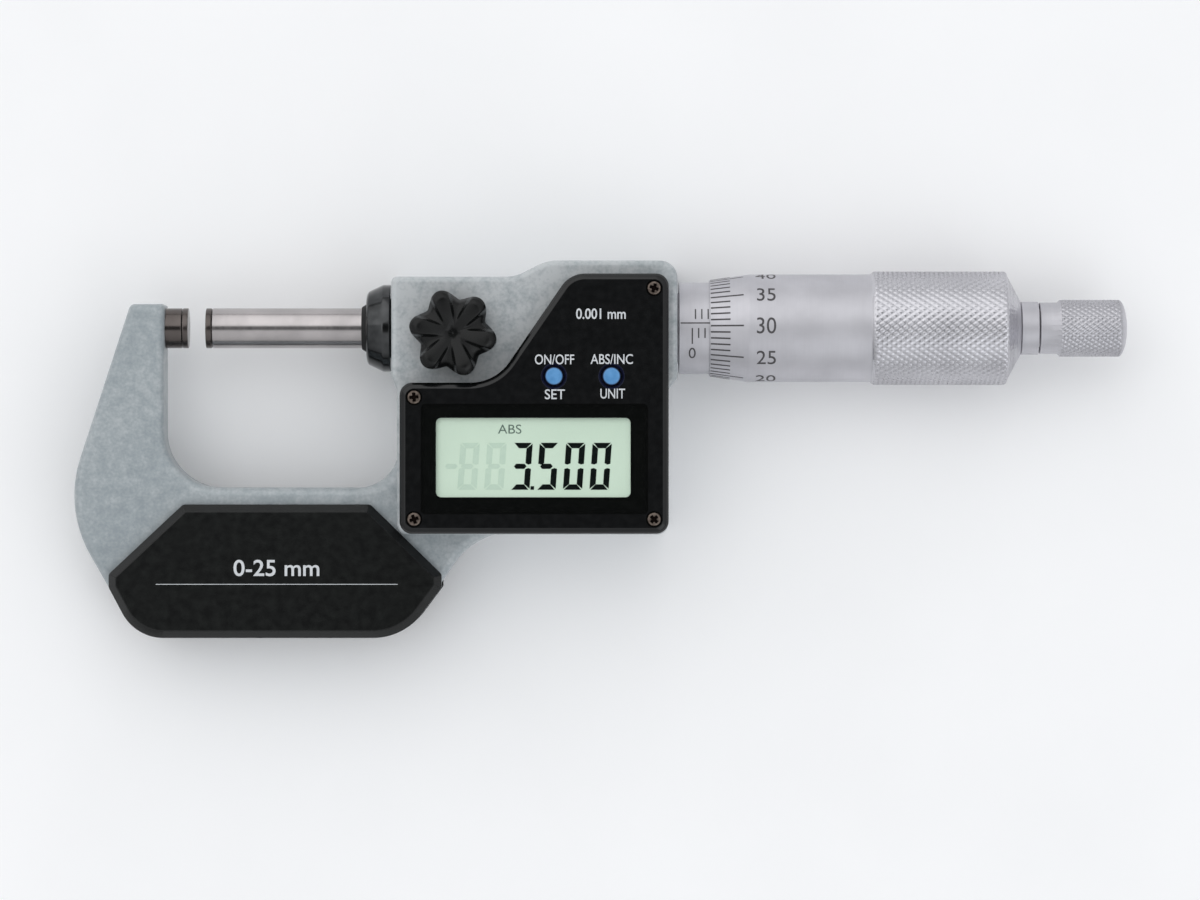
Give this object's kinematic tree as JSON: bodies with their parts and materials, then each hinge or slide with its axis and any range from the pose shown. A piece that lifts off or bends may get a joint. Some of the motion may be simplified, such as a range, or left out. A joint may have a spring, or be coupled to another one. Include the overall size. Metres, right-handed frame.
{
  "type": "digital outside micrometer",
  "caption": "Digital outside micrometer, 0 to 25 mm: C-shaped frame with anvil, sliding spindle, knurled thimble and ratchet, lobed clamp knob, display and two buttons.",
  "frame": {"origin": "centre of the anvil's measuring face, on the spindle axis", "axes": "+X along the spindle towards the thimble, +Y towards the top of the frame's arms, +Z out of the display; the part lies on its back"},
  "size_m": [0.1666, 0.0595, 0.0245],
  "materials": {
    "paint": "hammertone",
    "steel": "ground",
    "satin_chrome": "satin",
    "carbide": "lapped",
    "black_plastic": "satin",
    "knob_plastic": "matt",
    "black_oxide": "satin",
    "rubber": "matt",
    "clear_window": "polished",
    "display_glass": "smooth",
    "blue_plastic": "satin",
    "circuit_board": "lacquered",
    "brass": "turned",
    "screw_steel": "passivated",
    "nickel": "bright"
  },
  "bodies": {
    "root": {"frame": "paint", "anvil": "steel", "anvil_tip": "carbide", "seal_cap": "black_oxide", "wiper_seal": "rubber", "display_cover": "black_plastic", "cover_gasket": "rubber", "cover_screw_1": "screw_steel", "cover_screw_2": "screw_steel", "cover_screw_3": "screw_steel", "cover_screw_4": "screw_steel", "window": "clear_window", "lcd": "display_glass", "zebra_strip_lower": "rubber", "zebra_strip_upper": "rubber", "circuit_board": "circuit_board", "switch_left": "black_plastic", "switch_right": "black_plastic", "encoder_stator": "circuit_board", "inner_sleeve": "steel", "outer_sleeve": "satin_chrome", "adjusting_nut": "steel", "battery": "nickel", "battery_contact": "nickel", "battery_holder": "black_plastic", "grip_plate_front": "black_plastic", "grip_plate_rear": "black_plastic"},
    "rotor": {"encoder_rotor": "circuit_board", "rotor_bush": "brass", "rotor_key": "steel"},
    "spindle_body": {"spindle": "steel", "spindle_tip": "carbide", "thimble": "satin_chrome", "ratchet_body": "satin_chrome", "ratchet_clutch": "steel", "ratchet_spring": "steel", "ratchet_clip": "steel"},
    "ratchet": {"ratchet_cap": "satin_chrome"},
    "clamp_plug": {"clamp_pin": "brass"},
    "knob": {"clamp_knob": "knob_plastic", "clamp_stud": "steel"},
    "button_on_off": {"button_left": "blue_plastic"},
    "button_unit": {"button_right": "blue_plastic"},
    "cap_seal": {"cap_o_ring": "rubber"},
    "cap": {"battery_cap": "nickel"}
  },
  "joints": [
    {"name": "spindle_turn", "type": "hinge", "parent": "root", "child": "rotor", "pos_m": [0.065, 0, 0], "axis": [1, 0, 0], "range_deg": [-2009, 15985]},
    {"name": "spindle_travel", "type": "slide", "parent": "rotor", "child": "spindle_body", "axis": [1, 0, 0], "range_m": [-0.00279, 0.0222]},
    {"name": "ratchet_turn", "type": "hinge", "parent": "spindle_body", "child": "ratchet", "pos_m": [0.14, 0, 0], "axis": [1, 0, 0], "continuous": true},
    {"name": "clamp_press", "type": "slide", "parent": "root", "child": "clamp_plug", "axis": [0, 0, -1], "range_m": [0, 0.00025]},
    {"name": "clamp_turn", "type": "hinge", "parent": "clamp_plug", "child": "knob", "pos_m": [0.04225, -0.001, 0.012], "axis": [0, 0, -1], "range_deg": [0, 180.1]},
    {"name": "button_on_off_press", "type": "slide", "parent": "root", "child": "button_on_off", "axis": [0, 0, -1], "range_m": [0, 0.0004], "stiffness_N_per_m": 600},
    {"name": "button_unit_press", "type": "slide", "parent": "root", "child": "button_unit", "axis": [0, 0, -1], "range_m": [0, 0.0004], "stiffness_N_per_m": 600},
    {"name": "cap_lift", "type": "slide", "parent": "root", "child": "cap_seal", "axis": [0, 0, -1], "range_m": [0, 0.0015]},
    {"name": "cap_turn", "type": "hinge", "parent": "cap_seal", "child": "cap", "pos_m": [0.046, -0.021, -0.009], "axis": [0, 0, -1], "range_deg": [0, 720.2]}
  ],
  "couplings": [
    {"joint": "spindle_turn", "follows": "spindle_travel", "rad_per_m": 12566},
    {"joint": "clamp_turn", "follows": "clamp_press", "rad_per_m": 12566},
    {"joint": "cap_turn", "follows": "cap_lift", "rad_per_m": 8377.6}
  ]
}
